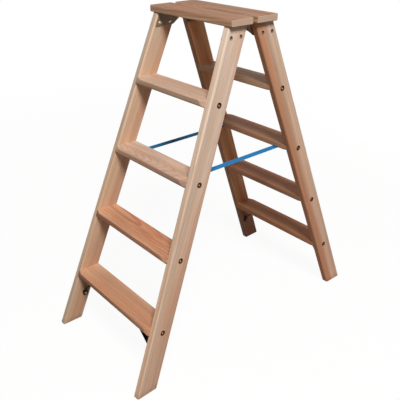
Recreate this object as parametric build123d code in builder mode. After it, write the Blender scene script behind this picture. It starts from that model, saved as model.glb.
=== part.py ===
import os
from math import asin, atan, atan2, cos, hypot, radians, sin, tan

from build123d import *

os.makedirs("parts", exist_ok=True)

# A wooden stepladder with steps on both sides: two like halves that fold about pins under the top boards.
# Millimetres and degrees. X runs across, the front half stands on the -Y side, Z is up from the floor.

# Whole ladder
overall_height = 1148.0
lean_angle = 21.56  # each half from the upright
foot_width = 518.7  # over the stiles at the floor, on their middle lines
head_width = 367.7  # over the stiles at the underside of the top boards
head_gap = 30.2  # between the front and rear stiles, at the underside of the top boards

# Stiles
stile_depth = 74.0
stile_thickness = 26.0
stile_rounding = 6.0
foot_chamfer = 3.0

# Treads, counted from the floor
tread_count = 4
first_tread_top = 225.0
last_rise = 226.0  # from the highest tread to the top of the boards
tread_thickness = 21.0
tread_nosing = 12.3  # front edge ahead of the stile, at the tread's top
tread_setback = 1.2  # rear edge ahead of the stile's rear face, at the tread's top
tread_rounding = 3.5
tread_housing = 7.0  # tread end let into the stile
tread_taper = 20.0  # angle at which the tread's edges run back to the stile's narrow faces

# Top boards
board_thickness = 21.8
board_front_overhang = 3.5
board_end_overhang = 14.2
board_gap = 18.1
board_nose_flat = 14.8  # upright flat on the outer edge
board_inner_rounding = 3.5
board_end_rounding = 3.0
board_housing = 6.0  # stile tops let into the boards

# Tie rods in grooves under the treads, and the sunk nuts of the rods and hinge bolts
rod_diameter = 6.0
rod_rise = 3.5  # middle of the rod above the tread's underside
rod_clearance = 0.25
nut_flats = 10.0
nut_height = 5.0
nut_flange_diameter = 12.5
nut_flange_height = 1.5
nut_recess_diameter = 17.5
hinge_nut_flats = 8.0
hinge_nut_height = 4.0
hinge_recess_diameter = 11.5
nut_recess_depth = 10.0
thread_clearance = 0.05
rod_stick_out = 4.0  # past its nut
bolt_stick_out = 1.0  # past its nut
thread_chamfer = 0.5

# Hinge plates and pins
plate_thickness = 4.0
plate_height = 41.0
plate_inset = 6.5  # from the outer narrow face of the stile
plate_bed = 0.3  # least depth of the plate's seat in the stile
plate_drop = 1.0  # below the top boards
ear_radius = 8.5
pin_diameter = 6.0
pin_head_diameter = 12.0
pin_head_height = 3.0
pin_head_rim = 1.5  # straight rim below the dome
running_clearance = 0.05
ear_side_clearance = 0.4
crank_run = 5.0
crank_clearance = 1.5  # between the flat ear and the crank of its partner
hinge_bolt_margin = 19.4  # from the narrow faces of the stile
hinge_bolt_rise = 9.8  # above the plate's lower edge
hinge_bolt_diameter = 5.0
hinge_bolt_head_diameter = 11.0
hinge_bolt_head_height = 3.5
hinge_bolt_head_rim = 0.7  # straight rim below the dome

# Braces between the lowest tread and the stiles
brace_leg = 78.0
brace_width = 20.0
brace_thickness = 3.0
brace_tab = 13.0  # from a bend to its screw
brace_bend = 5.0
brace_setback = 16.0  # behind the stile's middle line, at the lower screw

# Straps between the second highest treads
strap_width = 26.0
strap_thickness = 1.6
strap_inset = 46.1  # from the stile's inner face to the strap's middle
strap_gap = 0.3
strap_rod_gap = 5.0
strap_screw_margin = 12.0

# Wood screws
screw_diameter = 4.5
screw_bite = 10.0
screw_point = 1.1
screw_head_diameter = 10.0
screw_head_height = 3.0
screw_head_rim = 1.5  # straight rim below the dome
screw_slot_width = 1.4
screw_slot_depth = 1.2
screw_hole_clearance = 0.4

# Layout of the front half
lean = radians(lean_angle)
level_depth = stile_depth / cos(lean)
board_underside = overall_height - board_thickness
stile_top = board_underside + board_housing
middle_offset = head_gap / 2 + level_depth / 2 + board_underside * tan(lean)
splay = (foot_width - head_width) / 2 * cos(lean) / board_underside
level_thickness = stile_thickness * hypot(1, splay)
tread_rise = (overall_height - last_rise - first_tread_top) / (tread_count - 1)
brace_tread = 1
strap_tread = tread_count - 1
front_plane = Plane(origin=(0, -middle_offset, 0), x_dir=(1, 0, 0), z_dir=(0, -cos(lean), sin(lean)))
run_low = -level_depth
run_high = (stile_top + level_depth) / cos(lean)


def middle_y(height):
    return height * tan(lean) - middle_offset


def outer_x(y, height):
    run = (y + middle_offset) * sin(lean) + height * cos(lean)
    return foot_width / 2 - splay * run


def inner_x(y, height):
    return outer_x(y, height) - level_thickness


def tread_top(number):
    return first_tread_top + (number - 1) * tread_rise


def tread_underside(number):
    return tread_top(number) - tread_thickness


def tread_heel_y(number):
    return middle_y(tread_top(number)) + level_depth / 2 - tread_setback


def rod_place(number):
    height = tread_underside(number) + rod_rise
    return middle_y(height), height


def nut_seat(y, height):
    return outer_x(y, height) - nut_recess_depth


def across(x):
    return Plane(origin=(x, 0, 0), x_dir=(0, 1, 0), z_dir=(1, 0, 0))


def write(piece, name):
    piece.part.label = name
    export_step(piece.part, f"parts/{name}.step")


def write_both_halves(piece, name):
    write(piece, f"front_{name}")
    with BuildPart() as rear:
        mirror(piece.part, about=Plane.XZ)
    write(rear, f"rear_{name}")


def wood_screw(grip):
    with BuildPart() as screw:
        with BuildSketch():
            Circle(screw_diameter / 2)
        extrude(amount=-(grip + screw_bite))
        chamfer(screw.edges().sort_by(Axis.Z)[0], length=screw_point)
        with BuildSketch():
            Circle(screw_head_diameter / 2)
        extrude(amount=screw_head_height)
        fillet(screw.edges().sort_by(Axis.Z)[-1], radius=screw_head_height - screw_head_rim)
        with BuildSketch(Plane.XY.offset(screw_head_height)):
            Rectangle(screw_head_diameter, screw_slot_width)
        extrude(amount=-screw_slot_depth, mode=Mode.SUBTRACT)
    return screw.part


def hex_nut(flats, height, bolt_diameter):
    with BuildPart() as nut:
        with BuildSketch():
            RegularPolygon(flats / 2, side_count=6, major_radius=False)
            Circle(bolt_diameter / 2 + thread_clearance, mode=Mode.SUBTRACT)
        extrude(amount=height)
    return nut.part


# Hinge places: the pin's height, the plate's outline and the bolts
plate_top = board_underside - plate_drop
plate_bottom = plate_top - plate_height
pin_height = plate_top - ear_radius
plate_front_top = middle_y(plate_top) - level_depth / 2 + plate_inset
plate_front_bottom = middle_y(plate_bottom) - level_depth / 2 + plate_inset
plate_rear_bottom = middle_y(plate_bottom) + level_depth / 2
ear_reach = hypot(plate_rear_bottom, pin_height - plate_bottom)
ear_tilt = atan2(pin_height - plate_bottom, -plate_rear_bottom) - asin(ear_radius / ear_reach)
ear_touch = (ear_radius * sin(ear_tilt), pin_height - ear_radius * cos(ear_tilt))
plate_back = inner_x(plate_front_bottom, plate_bottom) + plate_bed
plate_face = plate_back - plate_thickness
ear_shift = plate_thickness + ear_side_clearance
bolt_height = plate_bottom + hinge_bolt_rise
bolt_half_spread = level_depth / 2 - hinge_bolt_margin
bolt_places = [
    (middle_y(bolt_height) - bolt_half_spread, bolt_height),
    (middle_y(bolt_height) + bolt_half_spread, bolt_height),
]
bolt_seat = nut_seat(middle_y(bolt_height), bolt_height)

# Brace places: an upright plane square to the right stile's inner face, with its origin at the lower screw
splay_angle = atan(splay)
face_normal = Vector(cos(splay_angle), sin(splay_angle) * sin(lean), sin(splay_angle) * cos(lean))
brace_screw_height = tread_underside(brace_tread) - brace_leg - brace_tab
brace_y = middle_y(brace_screw_height) + brace_setback
brace_plane = Plane(
    origin=(inner_x(brace_y, brace_screw_height), brace_y, brace_screw_height),
    x_dir=(face_normal.X, face_normal.Y, 0),
    z_dir=(face_normal.Y, -face_normal.X, 0),
)
face_tilt = face_normal.Z / hypot(face_normal.X, face_normal.Y)
lower_bend = (-brace_tab * face_tilt, brace_tab)
upper_bend = (lower_bend[0] - brace_leg, brace_tab + brace_leg)
brace_tip = (upper_bend[0] - brace_tab, upper_bend[1])
stile_screw_seat = Plane(origin=brace_plane.origin, z_dir=-face_normal)
tread_screw_seat = Plane(origin=brace_plane.from_local_coords((*brace_tip, 0)), z_dir=(0, 0, -1))

# Strap places, for the right strap
strap_top = tread_underside(strap_tread) - strap_gap
strap_end_y = rod_place(strap_tread)[0] + rod_diameter / 2 + strap_rod_gap
strap_screw_y = strap_end_y + strap_screw_margin
strap_x = inner_x(strap_screw_y, strap_top) - strap_inset
strap_screw_seat = Plane(origin=(strap_x, strap_screw_y, strap_top - strap_thickness), z_dir=(0, 0, -1))

pilot_radius = screw_diameter / 2 + thread_clearance
rod_hole_radius = rod_diameter / 2 + rod_clearance
bolt_hole_radius = hinge_bolt_diameter / 2 + rod_clearance
pin_hole_radius = pin_diameter / 2 + running_clearance

# Screws that rise into a tread from below: the place of the right one, by tread
tread_pilots = {
    brace_tread: (tread_screw_seat.origin.X, tread_screw_seat.origin.Y),
    strap_tread: (strap_x, strap_screw_y),
}

# Wood cut away beyond the treads' ends: a bar along each stile, deepest in the stile's housing
stile_side = stile_depth / 2
taper_run = tread_nosing / tan(radians(tread_taper))
stile_section = Plane(
    origin=front_plane.from_local_coords((foot_width / 2 - level_thickness, 0, 0)),
    x_dir=front_plane.x_dir + front_plane.y_dir * splay,
    z_dir=front_plane.x_dir * splay - front_plane.y_dir,
)
with BuildPart() as end_waste:
    with BuildSketch(stile_section):
        with BuildLine():
            Polyline(
                (tread_housing - taper_run, stile_side + tread_nosing),
                (tread_housing, stile_side),
                (tread_housing, -stile_side),
                (tread_housing - taper_run, -stile_side - tread_nosing),
                (foot_width / 2, -stile_side - tread_nosing),
                (foot_width / 2, stile_side + tread_nosing),
                close=True,
            )
        make_face()
    extrude(amount=run_high, both=True)
    mirror(about=Plane.YZ)

# Treads: rounded boards let into the stiles, with a groove for the tie rod
tread_blanks = []
for number in range(1, tread_count + 1):
    top = tread_top(number)
    front = middle_y(top) - level_depth / 2 - tread_nosing
    depth = tread_heel_y(number) - front
    with BuildPart() as tread:
        with BuildSketch(Plane.YZ):
            with Locations((front + depth / 2, top - tread_thickness / 2)):
                RectangleRounded(depth, tread_thickness, tread_rounding)
        extrude(amount=foot_width / 2, both=True)
        add(end_waste.part, mode=Mode.SUBTRACT)
        tread_blanks.append(tread.part)
        rod_y, rod_height = rod_place(number)
        with BuildSketch(Plane.YZ):
            with Locations((rod_y, rod_height)):
                Circle(rod_hole_radius)
            with Locations((rod_y, rod_height - rod_rise / 2)):
                Rectangle(2 * rod_hole_radius, rod_rise)
        extrude(amount=foot_width / 2, both=True, mode=Mode.SUBTRACT)
        if number in tread_pilots:
            pilot_x, pilot_y = tread_pilots[number]
            with BuildSketch(Plane.XY.offset(tread_underside(number))):
                with Locations((pilot_x, pilot_y), (-pilot_x, pilot_y)):
                    Circle(pilot_radius)
            extrude(amount=screw_bite, mode=Mode.SUBTRACT)
    write_both_halves(tread, f"tread_{number}")

# Outline of a hinge plate, on the right stile's side, seen along X
with BuildSketch(Plane.YZ) as plate_outline:
    with BuildLine():
        Polyline(
            (plate_front_top, plate_top),
            (plate_front_bottom, plate_bottom),
            (plate_rear_bottom, plate_bottom),
            ear_touch,
            (0, plate_top),
            close=True,
        )
    make_face()
    with Locations((0, pin_height)):
        Circle(ear_radius)

# Stiles: a straight bar in the slope of its half, cut level at the floor and inside the top board
with BuildPart() as right_stile:
    with BuildSketch(front_plane):
        with BuildLine():
            Polyline(
                (foot_width / 2 - splay * run_low, run_low),
                (foot_width / 2 - splay * run_high, run_high),
                (foot_width / 2 - splay * run_high - level_thickness, run_high),
                (foot_width / 2 - splay * run_low - level_thickness, run_low),
                close=True,
            )
        make_face()
    extrude(amount=stile_depth / 2, both=True)
    fillet(right_stile.edges().sort_by(SortBy.LENGTH)[-4:], radius=stile_rounding)
    split(bisect_by=Plane.XY, keep=Keep.TOP)
    split(bisect_by=Plane.XY.offset(stile_top), keep=Keep.BOTTOM)
    chamfer(right_stile.faces().sort_by(Axis.Z)[0].edges(), length=foot_chamfer)
    for blank in tread_blanks:
        add(blank, mode=Mode.SUBTRACT)
    extrude(plate_outline.sketch.moved(Location((plate_back, 0, 0))), amount=-plate_back, mode=Mode.SUBTRACT)
    for number in range(1, tread_count + 1):
        with BuildSketch(across(0)):
            with Locations(rod_place(number)):
                Circle(rod_hole_radius)
        extrude(amount=foot_width, mode=Mode.SUBTRACT)
        with BuildSketch(across(nut_seat(*rod_place(number)))):
            with Locations(rod_place(number)):
                Circle(nut_recess_diameter / 2)
        extrude(amount=stile_thickness, mode=Mode.SUBTRACT)
    with BuildSketch(across(0)):
        with Locations(*bolt_places):
            Circle(bolt_hole_radius)
    extrude(amount=foot_width, mode=Mode.SUBTRACT)
    with BuildSketch(across(bolt_seat)):
        with Locations(*bolt_places):
            Circle(hinge_recess_diameter / 2)
    extrude(amount=stile_thickness, mode=Mode.SUBTRACT)
    with BuildSketch(stile_screw_seat):
        Circle(pilot_radius)
    extrude(amount=-screw_bite, mode=Mode.SUBTRACT)
with BuildPart() as left_stile:
    mirror(right_stile.part, about=Plane.YZ)
write_both_halves(right_stile, "right_stile")
write_both_halves(left_stile, "left_stile")

# Top board: rounded along its edges, with the stile tops let into its underside
board_front = -(head_gap / 2 + level_depth + board_front_overhang)
board_nose_rounding = (board_thickness - board_nose_flat) / 2
with BuildPart() as top_board:
    with BuildSketch(Plane.YZ) as board_section:
        with BuildLine():
            Polyline(
                (board_front, board_underside),
                (-board_gap / 2, board_underside),
                (-board_gap / 2, overall_height),
                (board_front, overall_height),
                close=True,
            )
        make_face()
        fillet(board_section.vertices().group_by(Axis.X)[0], radius=board_nose_rounding)
        fillet(board_section.vertices().group_by(Axis.X)[-1], radius=board_inner_rounding)
    extrude(amount=head_width / 2 + board_end_overhang, both=True)
    fillet(top_board.faces().sort_by(Axis.X)[0].edges(), radius=board_end_rounding)
    fillet(top_board.faces().sort_by(Axis.X)[-1].edges(), radius=board_end_rounding)
    add(right_stile.part, mode=Mode.SUBTRACT)
    add(left_stile.part, mode=Mode.SUBTRACT)
write_both_halves(top_board, "top_board")

# Hinge plates: flat on the front half, and on the rear half with an ear cranked inward past the flat one
with BuildPart() as right_plate:
    extrude(plate_outline.sketch.moved(Location((plate_back, 0, 0))), amount=-plate_thickness)
    with BuildSketch(across(0)):
        with Locations(*bolt_places):
            Circle(bolt_hole_radius)
        with Locations((0, pin_height)):
            Circle(pin_hole_radius)
    extrude(amount=foot_width, mode=Mode.SUBTRACT)
crank_near = -(ear_radius + crank_clearance)
crank_far = crank_near - crank_run
crank_miter = plate_thickness * tan(atan(ear_shift / crank_run) / 2)
with BuildPart() as cranked_plate:
    with BuildSketch(Plane.XY.offset(plate_bottom)):
        with BuildLine():
            Polyline(
                (plate_back, plate_front_bottom),
                (plate_back, crank_far),
                (plate_back - ear_shift, crank_near),
                (plate_back - ear_shift, ear_radius),
                (plate_face - ear_shift, ear_radius),
                (plate_face - ear_shift, crank_near + crank_miter),
                (plate_face, crank_far + crank_miter),
                (plate_face, plate_front_bottom),
                close=True,
            )
        make_face()
    extrude(amount=plate_height)
    extrude(plate_outline.sketch, amount=foot_width, mode=Mode.INTERSECT)
    with BuildSketch(across(0)):
        with Locations(*bolt_places):
            Circle(bolt_hole_radius)
        with Locations((0, pin_height)):
            Circle(pin_hole_radius)
    extrude(amount=foot_width, mode=Mode.SUBTRACT)
with BuildPart() as left_plate:
    mirror(right_plate.part, about=Plane.YZ)
with BuildPart() as rear_right_plate:
    mirror(cranked_plate.part, about=Plane.XZ)
with BuildPart() as rear_left_plate:
    mirror(rear_right_plate.part, about=Plane.YZ)
write(right_plate, "front_right_hinge_plate")
write(left_plate, "front_left_hinge_plate")
write(rear_right_plate, "rear_right_hinge_plate")
write(rear_left_plate, "rear_left_hinge_plate")

# Hinge pins: riveted over the flat ear, with a domed head inside the cranked one
pin_head_seat = plate_face - ear_shift - ear_side_clearance
with BuildPart() as right_pin:
    with BuildSketch(across(pin_head_seat)):
        with Locations((0, pin_height)):
            Circle(pin_diameter / 2)
    extrude(amount=plate_back - pin_head_seat)
    with BuildSketch(across(pin_head_seat)):
        with Locations((0, pin_height)):
            Circle(pin_head_diameter / 2)
    extrude(amount=-pin_head_height)
    fillet(right_pin.edges().sort_by(Axis.X)[0], radius=pin_head_height - pin_head_rim)
    with BuildSketch(across(plate_back)):
        with Locations((0, pin_height)):
            Circle(pin_head_diameter / 2)
    extrude(amount=pin_head_height)
    fillet(right_pin.edges().sort_by(Axis.X)[-1], radius=pin_head_height - pin_head_rim)
with BuildPart() as left_pin:
    mirror(right_pin.part, about=Plane.YZ)
write(right_pin, "right_hinge_pin")
write(left_pin, "left_hinge_pin")

# Tie rods and their nuts
rod_nut_seats = []
for number in range(1, tread_count + 1):
    rod_y, rod_height = rod_place(number)
    seat = nut_seat(rod_y, rod_height)
    rod_nut_seats.append(Plane(origin=(seat, rod_y, rod_height), z_dir=(1, 0, 0)))
    with BuildPart() as tie_rod:
        with BuildSketch(across(0)):
            with Locations((rod_y, rod_height)):
                Circle(rod_diameter / 2)
        extrude(amount=seat + nut_height + rod_stick_out, both=True)
        chamfer(tie_rod.edges().filter_by(GeomType.CIRCLE), length=thread_chamfer)
    write_both_halves(tie_rod, f"tie_rod_{number}")
with BuildPart() as rod_nuts:
    with Locations(*rod_nut_seats):
        add(hex_nut(nut_flats, nut_height, rod_diameter))
    with BuildSketch(*rod_nut_seats):
        Circle(nut_flange_diameter / 2)
        Circle(rod_diameter / 2 + thread_clearance, mode=Mode.SUBTRACT)
    extrude(amount=nut_flange_height)
    mirror(about=Plane.YZ)
write_both_halves(rod_nuts, "rod_nuts")

# Hinge bolts, headed on the plates, and their nuts
with BuildPart() as hinge_bolts:
    with BuildSketch(across(plate_face)):
        with Locations(*bolt_places):
            Circle(hinge_bolt_head_diameter / 2)
    extrude(amount=-hinge_bolt_head_height)
    fillet(hinge_bolts.edges().group_by(Axis.X)[0], radius=hinge_bolt_head_height - hinge_bolt_head_rim)
    with BuildSketch(across(plate_face)):
        with Locations(*bolt_places):
            Circle(hinge_bolt_diameter / 2)
    extrude(amount=bolt_seat + hinge_nut_height + bolt_stick_out - plate_face)
    chamfer(hinge_bolts.edges().group_by(Axis.X)[-1], length=thread_chamfer)
    mirror(about=Plane.YZ)
write_both_halves(hinge_bolts, "hinge_bolts")
with BuildPart() as hinge_nuts:
    with Locations(*[Plane(origin=(bolt_seat, *place), z_dir=(1, 0, 0)) for place in bolt_places]):
        add(hex_nut(hinge_nut_flats, hinge_nut_height, hinge_bolt_diameter))
    mirror(about=Plane.YZ)
write_both_halves(hinge_nuts, "hinge_nuts")

# Braces: flat strip with two bends and round screwed ends, and their screws
with BuildPart() as right_brace:
    with BuildSketch(brace_plane):
        with BuildLine():
            strip_back = FilletPolyline((0, 0), lower_bend, upper_bend, brace_tip, radius=brace_bend)
            offset(strip_back, amount=brace_thickness, side=Side.LEFT)
        make_face()
    extrude(amount=brace_width / 2, both=True)
    with BuildSketch(stile_screw_seat, tread_screw_seat):
        Circle(brace_width / 2)
    extrude(amount=brace_thickness)
    with BuildSketch(stile_screw_seat, tread_screw_seat):
        Circle(screw_diameter / 2 + screw_hole_clearance)
    extrude(amount=brace_thickness, mode=Mode.SUBTRACT)
with BuildPart() as left_brace:
    mirror(right_brace.part, about=Plane.YZ)
write_both_halves(right_brace, "right_brace")
write_both_halves(left_brace, "left_brace")
with BuildPart() as brace_screws:
    with Locations(stile_screw_seat.offset(brace_thickness), tread_screw_seat.offset(brace_thickness)):
        add(wood_screw(brace_thickness))
    mirror(about=Plane.YZ)
write_both_halves(brace_screws, "brace_screws")

# Straps from tread to tread, and their screws
with BuildPart() as right_strap:
    with BuildSketch(Plane.XY.offset(strap_top)):
        with Locations((strap_x, 0)):
            Rectangle(strap_width, -2 * strap_end_y)
        with Locations((strap_x, strap_screw_y), (strap_x, -strap_screw_y)):
            Circle(screw_diameter / 2 + screw_hole_clearance, mode=Mode.SUBTRACT)
    extrude(amount=-strap_thickness)
with BuildPart() as left_strap:
    mirror(right_strap.part, about=Plane.YZ)
write(right_strap, "right_strap")
write(left_strap, "left_strap")
with BuildPart() as strap_screws:
    with Locations(strap_screw_seat):
        add(wood_screw(strap_thickness + strap_gap))
    mirror(about=Plane.YZ)
write_both_halves(strap_screws, "strap_screws")
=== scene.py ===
import math

import bmesh
import bpy
import numpy
from mathutils import Euler, Matrix, Vector


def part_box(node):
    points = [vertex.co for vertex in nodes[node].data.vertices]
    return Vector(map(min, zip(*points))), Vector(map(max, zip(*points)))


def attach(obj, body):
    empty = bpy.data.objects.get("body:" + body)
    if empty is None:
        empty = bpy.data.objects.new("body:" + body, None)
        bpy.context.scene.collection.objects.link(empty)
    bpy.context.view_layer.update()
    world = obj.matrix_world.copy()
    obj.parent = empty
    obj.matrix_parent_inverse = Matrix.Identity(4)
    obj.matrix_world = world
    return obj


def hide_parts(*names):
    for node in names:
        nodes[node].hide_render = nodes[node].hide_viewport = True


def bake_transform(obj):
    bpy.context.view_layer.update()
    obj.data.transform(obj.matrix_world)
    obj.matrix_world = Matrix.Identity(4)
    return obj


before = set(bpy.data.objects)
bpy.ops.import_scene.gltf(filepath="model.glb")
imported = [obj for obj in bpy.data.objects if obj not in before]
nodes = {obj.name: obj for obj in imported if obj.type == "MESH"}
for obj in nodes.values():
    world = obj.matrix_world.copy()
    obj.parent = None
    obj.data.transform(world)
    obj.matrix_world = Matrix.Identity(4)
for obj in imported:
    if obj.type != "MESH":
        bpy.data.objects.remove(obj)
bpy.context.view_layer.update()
halves = ("front", "rear")
sides = ("left", "right")
treadCount = 4
acrossAxis = Vector((1, 0, 0))  # from the left stiles to the right ones
upAxis = Vector((0, 0, 1))
mergeDistance = 1e-6
print("frame:", len(nodes), "nodes")


# node trees

def addNode(tree, kind, sources=(), **settings):
    made = tree.nodes.new(kind)
    for name, value in settings.items():
        setattr(made, name, value)
    pairs = sources.items() if isinstance(sources, dict) else enumerate(sources)
    for key, value in pairs:
        if isinstance(value, bpy.types.NodeSocket):
            tree.links.new(value, made.inputs[key])
        else:
            made.inputs[key].default_value = value
    return made.outputs


def mathNode(tree, operation, *values, clamp=False):
    return addNode(tree, "ShaderNodeMath", values, operation=operation, use_clamp=clamp)[0]


def vectorNode(tree, operation, *values):
    outputs = addNode(tree, "ShaderNodeVectorMath", values, operation=operation)
    return outputs["Value"] if operation in ("LENGTH", "DOT_PRODUCT", "DISTANCE") else outputs["Vector"]


def scaleVector(tree, vector, factor):
    sources = {0: vector, "Scale": factor}
    return addNode(tree, "ShaderNodeVectorMath", sources, operation="SCALE")["Vector"]


def mixColour(tree, factor, first, second, blend="MIX"):
    sources = {0: factor, 6: first, 7: second}  # a mix node's share and its two colours
    return addNode(tree, "ShaderNodeMix", sources, data_type="RGBA", blend_type=blend)[2]


def mapRange(tree, value, low, high, atLow=0.0, atHigh=1.0, shape="LINEAR"):
    sources = (value, low, high, atLow, atHigh)
    return addNode(tree, "ShaderNodeMapRange", sources, interpolation_type=shape)[0]


def smoothStep(tree, value, low, high, atLow=0.0, atHigh=1.0):
    return mapRange(tree, value, low, high, atLow, atHigh, "SMOOTHSTEP")


def noiseNode(tree, vector, scale, detail=2.0, roughness=0.5):
    sources = {"Vector": vector, "Scale": scale, "Detail": detail, "Roughness": roughness}
    return addNode(tree, "ShaderNodeTexNoise", sources)


def stretchedNoise(tree, vector, stretch, detail, roughness=0.5):
    return noiseNode(tree, vectorNode(tree, "MULTIPLY", vector, stretch), 1.0, detail, roughness)


def startMaterial(name):
    material = bpy.data.materials.new(name)
    material.use_nodes = True
    tree = material.node_tree
    return material, tree, tree.nodes["Principled BSDF"]


def setSurface(tree, shader, colour, rough, relief=None):
    tree.links.new(colour, shader.inputs["Base Color"])
    tree.links.new(rough, shader.inputs["Roughness"])
    if relief:
        bump = addNode(tree, "ShaderNodeBump", relief)[0]
        tree.links.new(bump, shader.inputs["Normal"])


def sRgb(red, green, blue):
    def linear(value):
        value /= 255
        return value / 12.92 if value <= 0.04045 else ((value + 0.055) / 1.055) ** 2.4
    return (linear(red), linear(green), linear(blue), 1.0)


def opaque(tone):
    return (*tone, 1.0)


# how far a surface is an arris, and how far it faces along an axis

arrisSamples = 6


def arrisShare(tree, radius, turnRange):
    soft = addNode(tree, "ShaderNodeBevel", {"Radius": radius}, samples=arrisSamples)[0]
    flat = addNode(tree, "ShaderNodeNewGeometry")["True Normal"]
    return smoothStep(tree, vectorNode(tree, "DOT_PRODUCT", soft, flat), *turnRange, 1.0, 0.0)


def facingShare(tree, normal, axis, turnRange):
    facing = mathNode(tree, "ABSOLUTE", vectorNode(tree, "DOT_PRODUCT", normal, axis))
    return smoothStep(tree, facing, *turnRange)


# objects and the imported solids

def linkObject(name, data):
    made = bpy.data.objects.new(name, data)
    bpy.context.scene.collection.objects.link(made)
    return made


def dress(node, material):
    node.data.materials.clear()
    node.data.materials.append(material)


def middleOf(points):
    return (Vector(map(min, *points)) + Vector(map(max, *points))) / 2


def looseSolids(nodeName):
    shape = bmesh.new()
    shape.from_mesh(nodes[nodeName].data)
    bmesh.ops.remove_doubles(shape, verts=shape.verts, dist=mergeDistance)
    waiting = set(shape.verts)
    solids = []
    while waiting:
        reached = [waiting.pop()]
        points = []
        while reached:
            vertex = reached.pop()
            points.append(vertex.co.copy())
            for edge in vertex.link_edges:
                other = edge.other_vert(vertex)
                if other in waiting:
                    waiting.remove(other)
                    reached.append(other)
        solids.append(points)
    shape.free()
    solids.sort(key=lambda points: tuple(round(value, 4) for value in middleOf(points)))
    return solids


# softwood: growth rings round a pith line, in a space whose X runs along the grain

grainLook = {
    "bend": {"stretch": (1.7, 9.0, 9.0), "detail": 2.0},
    "uneven": {"stretch": (0.6, 34.0, 34.0), "detail": 1.0},
    "fibre": {"stretch": (7.0, 420.0, 420.0), "detail": 3.0, "roughness": 0.62},
    "resin": {"stretch": (30.0, 700.0, 700.0), "detail": 0.0},
    "border": {"stretch": (2.2, 22.0, 22.0), "detail": 3.0, "roughness": 0.55},
    "broad": {"stretch": (1.4, 52.0, 52.0), "detail": 2.0, "roughness": 0.6},
    "unevenRings": 2.6,
    "lateStart": 0.28,
    "lateEnd": 0.93,
    "yearTone": (0.7, 0.3),  # spread and least tone of the years
    "lateHeight": 0.45,
    "resinRange": (0.68, 0.8),
    "resinShare": 0.35,
    "borderDrift": 0.9,
    "borderRange": (0.7, 1.3),
    "warmth": (0.4, -0.2, -0.7),  # red, green and blue of a warm streak
}


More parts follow.
